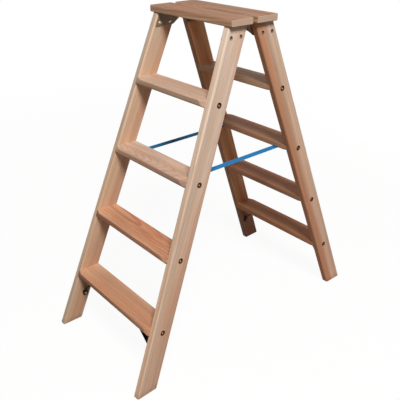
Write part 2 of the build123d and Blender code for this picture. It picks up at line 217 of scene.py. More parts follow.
def makeGrainGroup(look):
    tree = bpy.data.node_groups.new("plankGrain", "ShaderNodeTree")
    inputs = (
        ("Grain Space", "NodeSocketVector"),
        ("Pale", "NodeSocketColor"),
        ("Heart", "NodeSocketColor"),
        ("Late Wood", "NodeSocketColor"),
        ("Heart Reach", "NodeSocketFloat"),
        ("Ring Width", "NodeSocketFloat"),
        ("Wander", "NodeSocketFloat"),
        ("Ring Strength", "NodeSocketFloat"),
        ("Streak Strength", "NodeSocketFloat"),
        ("Drift Strength", "NodeSocketFloat"),
    )
    for name, kind in inputs:
        tree.interface.new_socket(name, in_out="INPUT", socket_type=kind)
    for name, kind in (("Colour", "NodeSocketColor"), ("Fibre", "NodeSocketFloat")):
        tree.interface.new_socket(name, in_out="OUTPUT", socket_type=kind)
    given = addNode(tree, "NodeGroupInput")
    place = given["Grain Space"]
    middle = (0.5, 0.5, 0.5)

    # slow bends of the grain along the plank
    bend = stretchedNoise(tree, place, **look["bend"])["Color"]
    wander = scaleVector(tree, vectorNode(tree, "SUBTRACT", bend, middle), given["Wander"])
    bent = vectorNode(tree, "ADD", place, wander)
    distance = vectorNode(tree, "LENGTH", vectorNode(tree, "MULTIPLY", bent, (0.0, 1.0, 1.0)))

    # rings of uneven width, each darkening to its late wood
    uneven = stretchedNoise(tree, bent, **look["uneven"])["Fac"]
    rings = mathNode(tree, "DIVIDE", distance, given["Ring Width"])
    rings = mathNode(tree, "MULTIPLY_ADD", uneven, look["unevenRings"], rings)
    part = mathNode(tree, "FRACT", rings)
    year = mathNode(tree, "FLOOR", rings)
    yearTone = addNode(tree, "ShaderNodeTexWhiteNoise", {"W": year}, noise_dimensions="1D")["Value"]
    yearTone = mathNode(tree, "MULTIPLY_ADD", yearTone, *look["yearTone"])
    rise = smoothStep(tree, part, look["lateStart"], look["lateEnd"])
    fall = smoothStep(tree, part, look["lateEnd"], 1.0, 1.0, 0.0)
    late = mathNode(tree, "MULTIPLY", mathNode(tree, "MULTIPLY", rise, fall), yearTone)

    # fibres and short resin lines
    fibre = stretchedNoise(tree, bent, **look["fibre"])["Fac"]
    resin = smoothStep(tree, stretchedNoise(tree, bent, **look["resin"])["Fac"], *look["resinRange"])

    # redder heartwood round the pith, with a drifting border
    border = stretchedNoise(tree, place, **look["border"])["Fac"]
    reach = mathNode(tree, "DIVIDE", distance, given["Heart Reach"])
    reach = mathNode(tree, "SUBTRACT", reach, look["borderDrift"] / 2)
    reach = mathNode(tree, "MULTIPLY_ADD", border, look["borderDrift"], reach)
    heart = smoothStep(tree, reach, *look["borderRange"], 1.0, 0.0)

    # broad streaks, redder or greyer than their neighbours
    broad = stretchedNoise(tree, bent, **look["broad"])["Color"]
    broad = scaleVector(tree, vectorNode(tree, "SUBTRACT", broad, middle), given["Drift Strength"])
    drift = addNode(tree, "ShaderNodeSeparateXYZ", (broad,))
    tone = mathNode(tree, "ADD", drift["X"], 1.0)
    channels = [mathNode(tree, "MULTIPLY_ADD", drift["Y"], share, tone) for share in look["warmth"]]
    drifted = addNode(tree, "ShaderNodeCombineColor", channels)[0]

    colour = mixColour(tree, heart, given["Pale"], given["Heart"])
    colour = mixColour(tree, 1.0, colour, drifted, "MULTIPLY")
    ringShare = mathNode(tree, "MULTIPLY", late, given["Ring Strength"])
    colour = mixColour(tree, ringShare, colour, given["Late Wood"])
    streak = mathNode(tree, "SUBTRACT", fibre, 0.5)
    streak = mathNode(tree, "MULTIPLY_ADD", streak, given["Streak Strength"], 1.0)
    grey = addNode(tree, "ShaderNodeCombineColor", (streak, streak, streak))[0]
    colour = mixColour(tree, 1.0, colour, grey, "MULTIPLY")
    resinShare = mathNode(tree, "MULTIPLY", resin, look["resinShare"])
    colour = mixColour(tree, resinShare, colour, given["Late Wood"])
    height = mathNode(tree, "MULTIPLY_ADD", late, look["lateHeight"], fibre)
    addNode(tree, "NodeGroupOutput", {"Colour": colour, "Fibre": height})
    return tree


grainGroup = makeGrainGroup(grainLook)

# a plank's surface: what all the woods share

woodLook = {
    "scuffs": {"scale": 70.0, "detail": 3.0, "roughness": 0.6},
    "scuffRange": (0.3, 0.62),
    "arris": 0.004,
    "arrisTurn": (0.8, 0.99),
    "endTurn": (0.75, 0.95),
    "edgeTurn": (0.5, 0.92),
    "fibreRange": (0.2, 1.1),
    "roughRange": (0.66, 0.5),
    "wornGloss": 0.08,
    "reliefStrength": 0.5,
    "reliefDepth": 0.0004,
    "softSamples": 8,
    "shine": 0.22,
}


def plankTurn(along, tilt):
    along = along.normalized()
    level = upAxis.cross(along).normalized()
    along = (along + level * tilt[0] + along.cross(level) * tilt[1]).normalized()
    level = upAxis.cross(along).normalized()
    return Matrix((along, level, along.cross(level)))


def addGrain(tree, place, turn, middle, look):
    shift = Vector(look["pith"]) - turn @ middle
    sources = {"Vector": place, "Location": shift, "Rotation": turn.to_euler()}
    values = {
        "Grain Space": addNode(tree, "ShaderNodeMapping", sources)[0],
        "Pale": sRgb(*look["pale"]),
        "Heart": sRgb(*look["heart"]),
        "Late Wood": sRgb(*look["late"]),
        "Heart Reach": look["heartReach"],
        "Ring Width": look["ringWidth"],
        "Wander": look["wander"],
        "Ring Strength": look["rings"],
        "Streak Strength": look["streaks"],
        "Drift Strength": look["drift"],
    }
    return addNode(tree, "ShaderNodeGroup", values, node_tree=grainGroup)


# painted light and shade: the narrow faces of a piece are made paler or darker; on a tread or board the tone
# changes from its left end to its right end
def narrowFaceShadings(tree, x, look):
    left = opaque(look["narrowFaceShading"])
    if "rightNarrowFaceShading" not in look:
        return left
    run = mapRange(tree, x, -look["reach"], look["reach"])
    return mixColour(tree, run, left, opaque(look["rightNarrowFaceShading"]))


# painted light and shade: a tread's left end has a tone of its own, mostly paler, for the light thrown onto
# it from the left stile, and its middle has another
def leftEndShadings(tree, x, look):
    reach = look["reach"]
    leaving = smoothStep(tree, x, -reach, -reach * (1 - look["endReach"]))
    return mixColour(tree, leaving, opaque(look["leftEndShading"]), opaque(look["middleShading"]))


# a stile changes in tone from foot to head; on the rear left stile the dark foot is painted shade
def heightTones(tree, z, look):
    climb = smoothStep(tree, z, 0.0, look["toneReach"])
    return mixColour(tree, climb, opaque(look["footTone"]), opaque(look["headTone"]))


# painted shade in a stile's sunk holes, and a little dirt on its foot
def footDirtAndHoleShade(tree, x, y, z, scuffs, look):
    outward = mathNode(tree, "ABSOLUTE", x)
    seen = addNode(tree, "ShaderNodeCombineXYZ", (0.0, y, z))[0]
    nearFloor = smoothStep(tree, z, 0.0, look["footSoil"]["height"], look["footSoil"]["share"], 0.0)
    share = mathNode(tree, "MULTIPLY", nearFloor, scuffs)
    rimStart, rimEnd = look["holeRim"]
    for middle, radius, seat, holeShade in look["holes"]:
        away = vectorNode(tree, "DISTANCE", seen, (0.0, middle.y, middle.z))
        sunk = mathNode(tree, "GREATER_THAN", outward, seat - look["seatMargin"])
        inside = smoothStep(tree, away, radius + rimStart, radius + rimEnd, holeShade, 0.0)
        share = mathNode(tree, "MAXIMUM", share, mathNode(tree, "MULTIPLY", sunk, inside))
    return share


def makeWood(name, along, middle, pieceLook):
    look = dict(woodLook, **pieceLook)
    material, tree, shader = startMaterial(name)
    turn = plankTurn(along, look["tilt"])
    coordinates = addNode(tree, "ShaderNodeTexCoord")
    place = coordinates["Object"]
    normal = coordinates["Normal"]
    x, y, z = addNode(tree, "ShaderNodeSeparateXYZ", (place,))
    grain = addGrain(tree, place, turn, middle, look)

    # handled arrises are a little paler and smoother; on the stiles the pale arris is also a painted
    # highlight
    scuffs = noiseNode(tree, place, **look["scuffs"])["Fac"]
    arris = arrisShare(tree, look["arris"], look["arrisTurn"])
    arrisWearAndHighlight = mathNode(tree, "MULTIPLY", arris, smoothStep(tree, scuffs, *look["scuffRange"]))
    wornAndHighlight = mathNode(tree, "MULTIPLY", arrisWearAndHighlight, look["wearAndHighlight"])
    colour = mixColour(tree, wornAndHighlight, grain["Colour"], sRgb(*look["wornAndHighlight"]))

    # end grain, painted light and shade on the narrow faces and along the piece, and painted shade in the
    # holes
    cut = facingShare(tree, normal, turn.row[0], look["endTurn"])
    cut = mathNode(tree, "MULTIPLY", cut, look["endShare"])
    colour = mixColour(tree, cut, colour, sRgb(*look["endGrain"]))
    narrow = facingShare(tree, normal, turn.row[look["edgeRow"]], look["edgeTurn"])
    colour = mixColour(tree, narrow, colour, narrowFaceShadings(tree, x, look), "MULTIPLY")
    if "leftEndShading" in look:
        colour = mixColour(tree, 1.0, colour, leftEndShadings(tree, x, look), "MULTIPLY")
    if "holes" in look:
        colour = mixColour(tree, 1.0, colour, heightTones(tree, z, look), "MULTIPLY")
        colour = mixColour(tree, footDirtAndHoleShade(tree, x, y, z, scuffs, look), colour, sRgb(*look["grimeAndHoleShade"]))

    rough = mapRange(tree, grain["Fibre"], *look["fibreRange"], *look["roughRange"])
    rough = mathNode(tree, "MULTIPLY_ADD", arrisWearAndHighlight, -look["wornGloss"], rough)
    relief = {"Strength": look["reliefStrength"], "Distance": look["reliefDepth"], "Height": grain["Fibre"]}
    if "softEdge" in look:
        sources = {"Radius": look["softEdge"]}
        relief["Normal"] = addNode(tree, "ShaderNodeBevel", sources, samples=look["softSamples"])[0]
    setSurface(tree, shader, colour, rough, relief)
    shader.inputs["Specular IOR Level"].default_value = look["shine"]
    return material


stileLook = {
    "ringWidth": 0.0062,
    "heartReach": 0.062,
    "wander": 0.016,
    "rings": 0.45,
    "streaks": 0.26,
    "edgeRow": 2,  # the axis of the plank that its narrow faces look along
    # painted shade inside the sunk holes: each share darkens the wood toward the dark colour below
    "rodHole": {"radius": 0.00875, "holeShade": 0.95},
    "boltHole": {"radius": 0.00575, "holeShade": 0.62},
    "holeRim": (0.0002, 0.0014),  # where the painted shade starts and ends to fade, outside the radius
    "seatMargin": 0.0005,
    "footSoil": {"height": 0.03, "share": 0.55},
    # the dark colour of the foot's dirt and of the holes' painted shade
    "grimeAndHoleShade": (88, 52, 26),
    # the stiles' pale arrises are wear and a painted highlight
    "wearAndHighlight": 0.55,
    "wornAndHighlight": (230, 202, 174),
    "endGrain": (190, 158, 130),
    "endShare": 0.6,
    # each stile's narrow-face tone below is painted light and shade
    "front_left": {
        "pale": (220, 188, 158),
        "heart": (214, 169, 138),
        "late": (190, 132, 100),
        "drift": 0.7,
        "pith": (0.4, 0.03, 0.058),
        "tilt": (0.0, -0.012),
        "narrowFaceShading": (0.92, 0.95, 0.98),
        "toneReach": 1.1,
        "footTone": (0.95, 0.95, 0.95),
        "headTone": (0.98, 1.0, 1.03),
    },
    "front_right": {
        "pale": (217, 193, 174),
        "heart": (210, 166, 139),
        "late": (192, 148, 118),
        "drift": 0.6,
        "pith": (1.9, -0.03, 0.056),
        "tilt": (0.0, -0.02),
        "narrowFaceShading": (1.11, 1.06, 1.0),
        "toneReach": 1.1,
        "footTone": (0.97, 0.88, 0.8),
        "headTone": (1.02, 1.05, 1.07),
    },
    "rear_left": {
        "pale": (217, 164, 121),
        "heart": (207, 144, 101),
        "late": (164, 103, 68),
        "drift": 0.95,
        "pith": (3.3, -0.034, 0.052),
        "tilt": (0.0, 0.01),
        # painted shade: this stile's darkened narrow faces and dark foot stand in for the shade on it
        "narrowFaceShading": (0.48, 0.53, 0.57),
        "toneReach": 0.4,
        "footTone": (0.38, 0.25, 0.17),
        "headTone": (1.16, 1.16, 1.16),
    },
    "rear_right": {
        "pale": (216, 186, 161),
        "heart": (197, 142, 107),
        "late": (178, 126, 96),
        "drift": 0.8,
        "pith": (4.8, -0.026, 0.06),
        "tilt": (0.0, 0.012),
        "narrowFaceShading": (0.92, 0.84, 0.76),
        "toneReach": 1.1,
        "footTone": (1.04, 0.95, 0.93),
        "headTone": (0.98, 1.02, 1.06),
    },
}


def endMiddle(node, pick, margin=0.0005):
    level = pick(vertex.co.z for vertex in node.data.vertices)
    return middleOf([vertex.co for vertex in node.data.vertices if abs(vertex.co.z - level) < margin])


def sunkHoles(half, footX):
    holes = []
    for kind, hole in (("rod", stileLook["rodHole"]), ("hinge", stileLook["boltHole"])):
        for points in looseSolids(f"{half}_{kind}_nuts"):
            if middleOf(points).x * footX > 0:
                seat = min(abs(point.x) for point in points)
                holes.append((middleOf(points), hole["radius"], seat, hole["holeShade"]))
    return holes


for half in halves:
    for side in sides:
        stile = nodes[f"{half}_{side}_stile"]
        foot = endMiddle(stile, min)
        head = endMiddle(stile, max)
        look = dict(stileLook, **stileLook[f"{half}_{side}"], holes=sunkHoles(half, foot.x))
        dress(stile, makeWood(f"{half}_{side}_stile_wood", head - foot, (foot + head) / 2, look))
print("stiles: 4 woods")

# lists run from the lowest tread to the highest
treadLook = {
    "late": (154, 84, 56),
    "wornAndHighlight": (224, 188, 160),
    "endGrain": (206, 172, 140),
    "endShare": 0.7,
    "endReach": 0.6,
    "edgeRow": 1,
    "softEdge": 0.009,
    "heartReach": 0.06,
    "streaks": 0.24,
    "wearAndHighlight": 0.35,
    "both": {
        "wander": (0.022, 0.06, 0.022, 0.022),
        "rings": (0.26, 0.7, 0.4, 0.24),
        "ringWidth": (0.0075, 0.0085, 0.0042, 0.006),
        "drift": (0.6, 0.8, 0.8, 0.5),
    },
    "front": {
        "pale": ((208, 164, 134), (206, 158, 126), (205, 175, 153), (200, 168, 147)),
        "heart": ((198, 146, 114), (198, 140, 106), (197, 161, 137), (193, 159, 136)),
        "pith": ((0.2, 0.02, -0.045), (1.3, -0.018, -0.04), (2.6, 0.03, -0.05), (3.4, -0.026, -0.06)),
        "tilt": ((0.02, 0.01), (-0.03, 0.05), (0.03, 0.09), (0.01, -0.02)),
        # painted light and shade on each tread's narrow faces, from its left end to its right end
        "narrowFaceShading": ((0.46, 0.33, 0.23), (0.57, 0.35, 0.3), (1.2, 1.12, 1.03), (0.93, 0.86, 0.74)),
        "rightNarrowFaceShading": ((1.1, 1.07, 0.98), (1.04, 1.02, 1.02), (0.79, 0.69, 0.65), (1.04, 1.02, 0.95)),
        # painted light at each tread's left end, and the tone of its middle
        "leftEndShading": ((1.14, 1.26, 1.3), (1.16, 1.32, 1.34), (1.08, 1.18, 1.2), (1.08, 1.18, 1.2)),
        "middleShading": ((0.94, 0.95, 0.95), (0.98, 0.99, 0.99), (0.98, 1.0, 1.01), (0.96, 0.98, 0.98)),
    },
    # the rear treads' colours are darker than the front ones: partly a redder wood, partly painted shade
    "rear": {
        "pale": ((195, 143, 107), (197, 147, 119), (187, 144, 114), (180, 143, 114)),
        "heart": ((184, 125, 89), (187, 129, 99), (179, 130, 100), (173, 135, 106)),
        "pith": ((7.2, -0.02, -0.045), (8.3, 0.018, -0.04), (9.6, -0.03, -0.05), (10.4, 0.026, -0.06)),
        "tilt": ((-0.02, 0.02), (0.01, -0.03), (0.02, 0.04), (-0.02, 0.05)),
        # painted light and shade on each tread's narrow faces, darkest at the heels
        "narrowFaceShading": ((0.65, 0.48, 0.42), (0.7, 0.76, 0.74), (0.6, 0.54, 0.51), (0.98, 0.94, 0.9)),
        "rightNarrowFaceShading": ((1.02, 0.98, 1.12), (0.87, 0.98, 0.96), (1.22, 1.25, 1.32), (1.36, 1.44, 1.55)),
        # painted light and shade at each tread's left end, and the tone of its middle
        "leftEndShading": ((1.0, 1.0, 0.98), (1.0, 1.0, 1.0), (0.95, 0.9, 0.92), (1.1, 1.1, 1.05)),
        "middleShading": ((0.9, 0.87, 0.84), (0.97, 1.0, 1.0), (0.97, 0.94, 0.9), (0.93, 0.91, 0.87)),
    },
}
for half in halves:
    for number in range(treadCount):
        tread = nodes[f"{half}_tread_{number + 1}"]
        low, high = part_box(tread.name)
        lists = dict(treadLook["both"], **treadLook[half])
        look = dict(treadLook, **{key: values[number] for key, values in lists.items()}, reach=high.x)
        dress(tread, makeWood(f"{tread.name}_wood", acrossAxis, (low + high) / 2, look))
print("treads:", 2 * treadCount, "woods")

boardLook = {
    "late": (122, 76, 54),
    "wornAndHighlight": (196, 158, 130),
    "endGrain": (201, 173, 150),
    "endShare": 0.85,
    "edgeRow": 1,
    # painted light on the boards' narrow faces, from the left end to the right end
    "narrowFaceShading": (1.95, 2.6, 3.05),
    "rightNarrowFaceShading": (1.44, 1.55, 1.64),
    "tilt": (0.02, 0.05),
    "heartReach": 0.06,
    "ringWidth": 0.009,
    "wander": 0.03,
    "rings": 0.8,
    "streaks": 0.5,
    "drift": 1.5,
    "wearAndHighlight": 0.35,
    "front": {"pale": (161, 123, 95), "heart": (153, 109, 81), "pith": (0.7, 0.012, -0.05)},
    "rear": {"pale": (155, 119, 93), "heart": (147, 105, 79), "pith": (2.2, -0.02, -0.042)},
}
for half in halves:
    board = nodes[f"{half}_top_board"]
    low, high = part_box(board.name)
    look = dict(boardLook, **boardLook[half], reach=high.x)
    dress(board, makeWood(f"{board.name}_wood", acrossAxis, (low + high) / 2, look))
print("top boards: 2 woods")

# dark paint of the hinge plates and braces

paintLook = {
    "mottling": {"scale": 55.0, "detail": 4.0, "roughness": 0.6},
    "mottleRange": (0.35, 0.65),
    "arris": 0.0012,
    "arrisTurn": (0.78, 0.98),
    "rubbing": {"scale": 240.0, "detail": 2.0},
    "rubRange": (0.42, 0.6),
    "specks": {"scale": 900.0, "detail": 2.0},
    "roughSpread": 0.24,
    "reliefStrength": 0.25,
    "reliefDepth": 0.0001,
    "finishes": {
        # one paint on all hinge plates: the front plates' paler colours are painted light, the rear plates'
        # darker ones painted shade
        "front_hinge_plate": {
            "base": (141, 117, 86),
            "mottle": (119, 97, 69),
            "rub": (142, 120, 96),
            "roughness": 0.5,
            "shine": 0.5,
        },
        "rear_hinge_plate": {
            "base": (84, 64, 50),
            "mottle": (66, 50, 38),
            "rub": (110, 90, 72),
            "roughness": 0.6,
            "shine": 0.25,
        },
        "brace": {
            "base": (52, 42, 34),
            "mottle": (40, 32, 26),
            "rub": (92, 78, 64),
            "roughness": 0.75,
            "shine": 0.05,
        },
    },
}


def makePaint(name, finish):
    look = dict(paintLook, **finish)
    material, tree, shader = startMaterial(name)
    place = addNode(tree, "ShaderNodeTexCoord")["Object"]
    mottle = smoothStep(tree, noiseNode(tree, place, **look["mottling"])["Fac"], *look["mottleRange"])
    colour = mixColour(tree, mottle, sRgb(*look["base"]), sRgb(*look["mottle"]))
    rubbed = smoothStep(tree, noiseNode(tree, place, **look["rubbing"])["Fac"], *look["rubRange"])
    rubbed = mathNode(tree, "MULTIPLY", arrisShare(tree, look["arris"], look["arrisTurn"]), rubbed)
    colour = mixColour(tree, rubbed, colour, sRgb(*look["rub"]))
    speck = noiseNode(tree, place, **look["specks"])["Fac"]
    spread = look["roughSpread"]
    rough = mathNode(tree, "MULTIPLY_ADD", speck, spread, look["roughness"] - spread / 2)
    relief = {"Strength": look["reliefStrength"], "Distance": look["reliefDepth"], "Height": speck}
    setSurface(tree, shader, colour, rough, relief)
    shader.inputs["Specular IOR Level"].default_value = look["shine"]
    return material


paint = {kind: makePaint(f"{kind}_paint", finish) for kind, finish in paintLook["finishes"].items()}
for half in halves:
    for side in sides:
        dress(nodes[f"{half}_{side}_hinge_plate"], paint[f"{half}_hinge_plate"])
        dress(nodes[f"{half}_{side}_brace"], paint["brace"])

# zinc plate of the pins, rods, nuts, bolts and screws

zincLook = {
    "clouds": {"scale": 160.0, "detail": 3.0, "roughness": 0.6},
    "cloudRange": (0.4, 0.7),
    "roughSpread": 0.3,
    "metal": 1.0,
    "finishes": {
        "hinge_bolt_zinc": {"base": (200, 194, 180), "dull": (154, 146, 132), "roughness": 0.3},
        "hinge_pin_zinc": {"base": (92, 78, 62), "dull": (70, 58, 45), "roughness": 0.5},
        "hinge_nut_zinc": {"base": (172, 132, 102), "dull": (146, 110, 84), "roughness": 0.6, "metal": 0.2},
        "rod_nut_zinc": {"base": (112, 76, 48), "dull": (80, 54, 34), "roughness": 0.6},
        # one zinc on all screws: the rear screws' darker colours are painted shade
        "front_screw_zinc": {"base": (152, 143, 122), "dull": (112, 104, 87), "roughness": 0.5},
        "rear_screw_zinc": {"base": (74, 66, 54), "dull": (54, 48, 40), "roughness": 0.55},
        "rod_zinc": {"base": (218, 200, 172), "dull": (192, 172, 144), "roughness": 0.5, "metal": 0.35},
        "brown_rod_zinc": {"base": (112, 76, 46), "dull": (90, 60, 36), "roughness": 0.6, "metal": 0.35},
    },
}


def makeZinc(name, finish):
    look = dict(zincLook, **finish)
    material, tree, shader = startMaterial(name)
    place = addNode(tree, "ShaderNodeTexCoord")["Object"]
    cloud = noiseNode(tree, place, **look["clouds"])["Fac"]
    dull = smoothStep(tree, cloud, *look["cloudRange"])
    colour = mixColour(tree, dull, sRgb(*look["base"]), sRgb(*look["dull"]))
    spread = look["roughSpread"]
    rough = mathNode(tree, "MULTIPLY_ADD", cloud, spread, look["roughness"] - spread / 2)
    setSurface(tree, shader, colour, rough)
    shader.inputs["Metallic"].default_value = look["metal"]
    return material


zinc = {name: makeZinc(name, finish) for name, finish in zincLook["finishes"].items()}
print("metal:", len(paint), "paints and", len(zinc), "zinc finishes")

# turned and hexagonal shapes, with their axis along Z

rimBevel = 0.0002


def sharpen(mesh, degrees=32):
    mesh.shade_smooth()
    mesh.set_sharp_from_angle(angle=math.radians(degrees))


def ringMesh(name, rings):
    shape = bmesh.new()
    loops = [[shape.verts.new(point) for point in ring] for ring in rings]
    pairs = list(zip(loops, loops[1:]))
    if len(loops[0]) > 1:
        pairs.append((loops[-1], loops[0]))  # round a bore
    for upper, lower in pairs:
        count = max(len(upper), len(lower))
        for index in range(count):
            after = (index + 1) % count
            if len(upper) == 1:
                corners = (upper[0], lower[index], lower[after])
            elif len(lower) == 1:
                corners = (upper[index], lower[0], upper[after])
            else:
                corners = (upper[index], lower[index], lower[after], upper[after])
            shape.faces.new(corners)
    bmesh.ops.recalc_face_normals(shape, faces=shape.faces)
    mesh = bpy.data.meshes.new(name)
    shape.to_mesh(mesh)
    shape.free()
    sharpen(mesh)
    return mesh


def fullTurn(segments):
    return [2 * math.pi * index / segments for index in range(segments)]


def circle(turns, radius, height):
    return [(radius * math.cos(turn), radius * math.sin(turn), height) for turn in turns]


def lathe(name, profile, segments=32):
    turns = fullTurn(segments)
    rings = [circle(turns, radius, height) if radius else [(0, 0, height)] for radius, height in profile]
    return ringMesh(name, rings)


def domeProfile(radius, height, rim, steps=9):
    arc = [math.pi / 2 * step / steps for step in range(steps + 1)]
    dome = [(radius * math.sin(turn), rim + (height - rim) * math.cos(turn)) for turn in arc]
    dome[0] = (0, height)
    return dome + [(radius, rimBevel), (radius - rimBevel, 0)]


threadLook = {"crestAt": 0.3, "rootAt": 0.8}  # down from the start of each turn, in pitches


def threadProfile(radius, top, bottom, pitch, depth):
    count = max(2, round((top - bottom) / pitch))
    step = (top - bottom) / count
    profile = []
    for index in range(count):
        start = top - index * step
        profile.append((radius, start - threadLook["crestAt"] * step))
        profile.append((radius - depth, start - threadLook["rootAt"] * step))
    return profile


def mirrored(upper):
    return upper + [(radius, -height) for radius, height in reversed(upper)]


def layAcross(mesh, low, high):
    mesh.transform(Matrix.Translation((low + high) / 2) @ Matrix.Rotation(math.pi / 2, 4, "Y"))


nutLook = {
    "segments": 48,
    "crownShare": 0.95,
    "chamferDegrees": 30,
    "boreChamfer": 0.0004,
    "skirtLift": 0.0003,
    "skirtShare": 1.17,
    "slopeShare": 0.55,
    "rimShare": 0.4,
    "rod_nut": {
        "flats": 0.010,
        "height": 0.005,
        "bore": 0.006,
        "flange": {"diameter": 0.0125, "thickness": 0.0015},
        "seed": 5,
    },
    "hinge_nut": {"flats": 0.008, "height": 0.004, "bore": 0.005, "seed": 11},
}


def hexNut(name, look):
    turns = fullTurn(look["segments"])
    inner = look["flats"] / 2
    crown = inner * look["crownShare"]
    slope = math.tan(math.radians(look["chamferDegrees"]))
    sixth = math.pi / 3

    def hexRing(height, drop):
        ring = []
        for turn in turns:
            radius = inner / math.cos((turn + sixth / 2) % sixth - sixth / 2)
            z = height + drop * (radius - crown) * slope
            ring.append((radius * math.cos(turn), radius * math.sin(turn), z))
        return ring

    bore = look["bore"] / 2
    top = look["height"]
    chamfer = look["boreChamfer"]
    rings = [circle(turns, bore, top - chamfer), circle(turns, bore + chamfer, top)]
    rings += [circle(turns, crown, top), hexRing(top, -1)]
    if "flange" in look:
        rim = look["flange"]["diameter"] / 2
        thick = look["flange"]["thickness"]
        rings += [hexRing(thick + look["skirtLift"], 0), circle(turns, inner * look["skirtShare"], thick)]
        rings += [circle(turns, rim - rimBevel, thick * look["slopeShare"])]
        rings += [circle(turns, rim, thick * look["rimShare"])]
        rings += [circle(turns, rim, rimBevel), circle(turns, rim - rimBevel, 0)]
    else:
        rings += [hexRing(0, 1), circle(turns, crown, 0)]
    rings += [circle(turns, bore, 0)]
    return ringMesh(name, rings)


# a tree that sets one fastener on each point, turned along the point's axis

fastenerLook = {"size": 1.0, "mostTurn": 2 * math.pi}


def makeFastenerTree():
    tree = bpy.data.node_groups.new("setFasteners", "GeometryNodeTree")
    for name, kind in (
        ("Geometry", "NodeSocketGeometry"),
        ("Master", "NodeSocketObject"),
        ("Size", "NodeSocketFloat"),
        ("Most Turn", "NodeSocketFloat"),
        ("Seed", "NodeSocketInt"),
        ("Material", "NodeSocketMaterial"),
    ):
        tree.interface.new_socket(name, in_out="INPUT", socket_type=kind)
    tree.interface.new_socket("Geometry", in_out="OUTPUT", socket_type="NodeSocketGeometry")
    given = addNode(tree, "NodeGroupInput")
    axis = addNode(tree, "GeometryNodeInputNamedAttribute", {"Name": "axis"}, data_type="FLOAT_VECTOR")[0]
    pointed = addNode(tree, "FunctionNodeAlignRotationToVector", {"Vector": axis}, axis="Z")[0]
    sources = {2: 0.0, 3: given["Most Turn"], "Seed": given["Seed"]}  # least and most turn
    spin = addNode(tree, "FunctionNodeRandomValue", sources, data_type="FLOAT")[1]
    turn = addNode(tree, "FunctionNodeAxisAngleToRotation", {"Axis": (0, 0, 1), "Angle": spin})[0]
    turned = addNode(tree, "FunctionNodeRotateRotation", (pointed, turn), rotation_space="LOCAL")[0]
    sources = {"Object": given["Master"], "As Instance": True}
    master = addNode(tree, "GeometryNodeObjectInfo", sources)["Geometry"]
    sources = {"Points": given["Geometry"], "Instance": master, "Rotation": turned, "Scale": given["Size"]}
    placed = addNode(tree, "GeometryNodeInstanceOnPoints", sources)[0]
    real = addNode(tree, "GeometryNodeRealizeInstances", {"Geometry": placed})[0]
    sources = {"Geometry": real, "Material": given["Material"]}
    covered = addNode(tree, "GeometryNodeSetMaterial", sources)[0]
    addNode(tree, "NodeGroupOutput", {"Geometry": covered})
    return tree


fastenerTree = makeFastenerTree()


def plainMesh(made):
    graph = bpy.context.evaluated_depsgraph_get()
    return bpy.data.meshes.new_from_object(made.evaluated_get(graph))


def setFasteners(name, masterMesh, places, material, seed):
    master = bpy.data.objects.new(f"{name}_master", masterMesh)
    cloud = bpy.data.meshes.new(f"{name}_places")
    cloud.from_pydata([place for place, axis in places], [], [])
    axes = cloud.attributes.new("axis", "FLOAT_VECTOR", "POINT")
    axes.data.foreach_set("vector", [value for place, axis in places for value in axis])
    holder = linkObject(f"{name}_holder", cloud)
    modifier = holder.modifiers.new("fasteners", "NODES")
    modifier.node_group = fastenerTree
    values = {
        "Master": master,
        "Size": fastenerLook["size"],
        "Most Turn": fastenerLook["mostTurn"],
        "Seed": seed,
        "Material": material,
    }
    for item in fastenerTree.interface.items_tree:
        if item.in_out == "INPUT" and item.name in values:
            modifier[item.identifier] = values[item.name]
    holder.update_tag()
    mesh = plainMesh(holder)
    mesh.name = name
    bpy.data.objects.remove(holder)
    bpy.data.objects.remove(master)
    return linkObject(name, mesh)


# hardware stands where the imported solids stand

def standFor(piece, nodeName, body):
    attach(piece, body)
    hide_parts(nodeName)


def outwardAt(place):
    return acrossAxis if place.x > 0 else -acrossAxis


for index, half in enumerate(halves):
    for kind in ("rod_nut", "hinge_nut"):
        look = dict(nutLook, **nutLook[kind])
        places = []
        for points in looseSolids(f"{half}_{kind}s"):
            middle = middleOf(points)
            outward = outwardAt(middle)
            places.append((middle - outward * look["height"] / 2, outward))
        finish = zinc[f"{kind}_zinc"]
        nuts = setFasteners(f"{half}_{kind}s_set", hexNut(kind, look), places, finish, look["seed"] + index)
        standFor(nuts, f"{half}_{kind}s", f"{half}_frame")
print("nuts: 4 sets")

boltLook = {
    "head": 0.011,
    "headHeight": 0.0035,
    "rim": 0.0006,
    "shank": 0.005,
    "thread": 0.012,
    "pitch": 0.0008,
    "threadDepth": 0.0004,
    "tip": 0.0008,
    "tipInset": 0.0007,
    "seed": 23,
}


def boltMesh(length, look):
    radius = look["shank"] / 2
    low = look["headHeight"] - length
    profile = domeProfile(look["head"] / 2, look["headHeight"], look["rim"]) + [(radius, 0)]
    threadTop = low + look["thread"]
    profile += threadProfile(radius, threadTop, low + look["tip"], look["pitch"], look["threadDepth"])
    profile += [(radius - look["tipInset"], low), (0, low)]
    return lathe("hinge_bolt", profile)


for index, half in enumerate(halves):
    solids = looseSolids(f"{half}_hinge_bolts")
    length = max(point.x for point in solids[-1]) - min(point.x for point in solids[-1])
    places = []
    for points in solids:
        middle = middleOf(points)
        inward = -outwardAt(middle)
        places.append((middle + inward * (length / 2 - boltLook["headHeight"]), inward))
    master = boltMesh(length, boltLook)
    seed = boltLook["seed"] + index
    bolts = setFasteners(f"{half}_hinge_bolts_set", master, places, zinc["hinge_bolt_zinc"], seed)
    standFor(bolts, f"{half}_hinge_bolts", f"{half}_frame")
print("hinge bolts: 2 sets")

rodLook = {
    "segments": 24,
    "thread": 0.016,
    "pitch": 0.001,
    "depth": 0.0005,
    "tip": 0.0006,
    "tipInset": 0.0008,
    "endTurn": 0.99,
}


